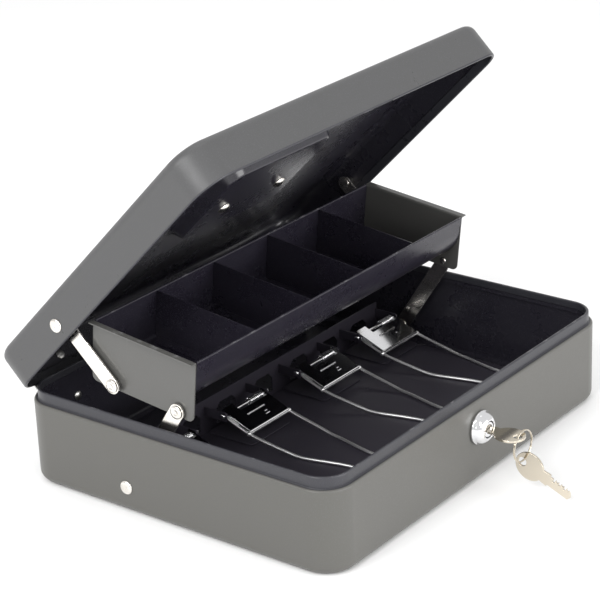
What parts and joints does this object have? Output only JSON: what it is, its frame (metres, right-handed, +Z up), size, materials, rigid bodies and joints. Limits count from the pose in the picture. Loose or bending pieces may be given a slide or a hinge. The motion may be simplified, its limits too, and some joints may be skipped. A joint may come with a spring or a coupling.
{
  "type": "cash box",
  "caption": "Portable locking steel cash box with a hinged lid, a cantilever coin tray on side links, sprung bill clips, a folding handle and a cam lock with keys.",
  "frame": {"origin": "middle of the flat underside of the base", "axes": "+Z up, +X to the right of someone facing the lock, -Y out of the front wall that carries the lock"},
  "size_m": [0.3028, 0.3197, 0.2407],
  "materials": {
    "case_enamel": "satin black enamel, fine orange peel",
    "inner_enamel": "glossy black enamel with fine speckle",
    "nickel": "bright nickel plate, lightly tumbled",
    "clip_chrome": "bright chrome plate",
    "lock_chrome": "polished chrome plate",
    "key_nickel": "nickel plate on brass, stamped",
    "zinc": "bright zinc plate"
  },
  "bodies": {
    "root": {"base_link_rivet_left": "nickel", "base_link_rivet_right": "nickel", "base_shell": "case_enamel", "bill_floor": "inner_enamel", "bill_partition": "inner_enamel", "clip_axle_1": "clip_chrome", "clip_axle_2": "clip_chrome", "clip_axle_3": "clip_chrome", "clip_axle_4": "clip_chrome", "clip_spring_1": "zinc", "clip_spring_2": "zinc", "clip_spring_3": "zinc", "clip_spring_4": "zinc", "hinge_leaf_base_left": "zinc", "hinge_leaf_base_right": "zinc", "hinge_pin_left": "zinc", "hinge_pin_right": "zinc", "lock_housing": "lock_chrome", "lock_nut": "zinc"},
    "lid": {"handle_post_left": "nickel", "handle_post_right": "nickel", "hinge_leaf_lid_left": "zinc", "hinge_leaf_lid_right": "zinc", "lid_link_rivet_left": "nickel", "lid_link_rivet_right": "nickel", "lid_shell": "case_enamel", "strike_plate": "zinc"},
    "handle": {"handle": "nickel"},
    "lower_links": {"lower_link_left": "nickel", "lower_link_right": "nickel"},
    "tray": {"coin_divider_1": "inner_enamel", "coin_divider_2": "inner_enamel", "coin_divider_3": "inner_enamel", "coin_divider_4": "inner_enamel", "tray_end_plate_left": "inner_enamel", "tray_end_plate_right": "inner_enamel", "tray_rivet_front_left": "nickel", "tray_rivet_front_right": "nickel", "tray_rivet_rear_left": "nickel", "tray_rivet_rear_right": "nickel", "tray_trough": "inner_enamel"},
    "upper_links": {"upper_link_left": "nickel", "upper_link_right": "nickel"},
    "clip_1": {"clip_plate_1": "clip_chrome", "clip_bale_1": "clip_chrome"},
    "clip_2": {"clip_plate_2": "clip_chrome", "clip_bale_2": "clip_chrome"},
    "clip_3": {"clip_plate_3": "clip_chrome", "clip_bale_3": "clip_chrome"},
    "clip_4": {"clip_plate_4": "clip_chrome", "clip_bale_4": "clip_chrome"},
    "lock_plug": {"lock_plug": "lock_chrome", "lock_cam": "zinc", "cam_screw": "zinc", "key_in_lock": "key_nickel"},
    "key_ring": {"key_ring": "key_nickel"},
    "spare_key": {"spare_key": "key_nickel"}
  },
  "joints": [
    {"name": "lid_hinge", "type": "hinge", "parent": "root", "child": "lid", "pos_m": [0, 0.1215, 0.0495], "axis": [-1, 0, 0], "range_deg": [-45.5, 39.5]},
    {"name": "lower_link_pivot", "type": "hinge", "parent": "root", "child": "lower_links", "pos_m": [0, 0.0355, 0.017], "axis": [-1, 0, 0], "range_deg": [-47.5, 41.2]},
    {"name": "tray_front_pivot", "type": "hinge", "parent": "lower_links", "child": "tray", "pos_m": [0, -0.001, 0.073], "axis": [1, 0, 0], "range_deg": [-53.3, 46.3]},
    {"name": "tray_rear_pivot", "type": "hinge", "parent": "tray", "child": "upper_links", "pos_m": [0, 0.04719, 0.07849], "axis": [-1, 0, 0], "range_deg": [-12.5, 10.9]},
    {"name": "clip_1_lift", "type": "hinge", "parent": "root", "child": "clip_1", "pos_m": [-0.106, 0.036, 0.026], "axis": [-1, 0, 0], "range_deg": [0, 40], "stiffness_Nm_per_rad": 0.05, "springref_deg": -28.65},
    {"name": "clip_2_lift", "type": "hinge", "parent": "root", "child": "clip_2", "pos_m": [-0.035, 0.036, 0.026], "axis": [-1, 0, 0], "range_deg": [0, 40], "stiffness_Nm_per_rad": 0.05, "springref_deg": -28.65},
    {"name": "clip_3_lift", "type": "hinge", "parent": "root", "child": "clip_3", "pos_m": [0.042, 0.036, 0.026], "axis": [-1, 0, 0], "range_deg": [0, 40], "stiffness_Nm_per_rad": 0.05, "springref_deg": -28.65},
    {"name": "clip_4_lift", "type": "hinge", "parent": "root", "child": "clip_4", "pos_m": [0.11, 0.036, 0.026], "axis": [-1, 0, 0], "range_deg": [0, 40], "stiffness_Nm_per_rad": 0.05, "springref_deg": -28.65},
    {"name": "lock_turn", "type": "hinge", "parent": "root", "child": "lock_plug", "pos_m": [0, -0.11, 0.0363], "axis": [0, 1, 0], "range_deg": [0, 90]},
    {"name": "key_ring_swing", "type": "hinge", "parent": "lock_plug", "child": "key_ring", "pos_m": [0, -0.146, 0.0366], "axis": [1, 0, 0], "range_deg": [-30, 30]},
    {"name": "spare_key_swing", "type": "hinge", "parent": "key_ring", "child": "spare_key", "pos_m": [0.006, -0.146, 0.018], "axis": [-1, 0, 0], "range_deg": [0, 40]},
    {"name": "handle_fold", "type": "hinge", "parent": "lid", "child": "handle", "pos_m": [0, 0.05371, 0.15743], "axis": [-1, 0, 0], "range_deg": [0, 95]}
  ],
  "couplings": [
    {"joint": "lower_link_pivot", "follows": "lid_hinge", "ratio": 1.042},
    {"joint": "tray_front_pivot", "follows": "lid_hinge", "ratio": 1.169},
    {"joint": "tray_rear_pivot", "follows": "lid_hinge", "ratio": 0.272}
  ]
}
